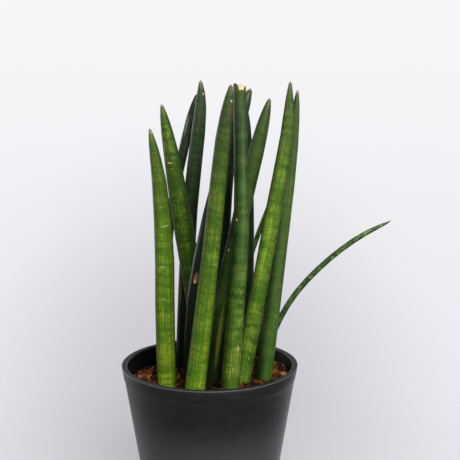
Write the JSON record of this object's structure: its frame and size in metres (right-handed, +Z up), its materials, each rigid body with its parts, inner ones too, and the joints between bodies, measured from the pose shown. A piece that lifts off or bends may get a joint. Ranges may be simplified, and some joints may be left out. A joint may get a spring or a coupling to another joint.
{
  "type": "potted cylindrical snake plant",
  "caption": "Upright succulent with thick cylindrical ribbed leaves and thin young ones, planted in coir chips in a black round tapered plastic pot.",
  "frame": {"origin": "middle of the underside of the pot, where it stands", "axes": "+Z up along the pot's axis; +X to the right and +Y away from the viewer, as pictured"},
  "size_m": [0.2599, 0.1688, 0.419],
  "materials": {
    "pot": "matt black",
    "soil": "rough coir chips",
    "leaf_bright": "waxy yellow-green with darker cross bands",
    "leaf_green": "waxy green with darker cross bands",
    "leaf_dark": "waxy dark green with faint cross bands",
    "young_leaf": "waxy green with pale cross bands"
  },
  "bodies": {
    "root": {"pot": "pot", "soil": "soil", "leaf_left_outer": "leaf_bright", "leaf_front": "leaf_bright", "leaf_right_tall": "leaf_bright", "leaf_left_inner": "leaf_green", "leaf_front_cut": "leaf_green", "leaf_right_inner": "leaf_green", "leaf_right_outer": "leaf_green", "leaf_diagonal": "leaf_dark", "leaf_back_slim": "leaf_dark", "leaf_back_tall": "leaf_dark", "leaf_back_middle": "leaf_dark", "leaf_back_right": "leaf_dark", "young_leaf_slim": "young_leaf", "young_leaf_arching": "young_leaf"}
  },
  "joints": []
}
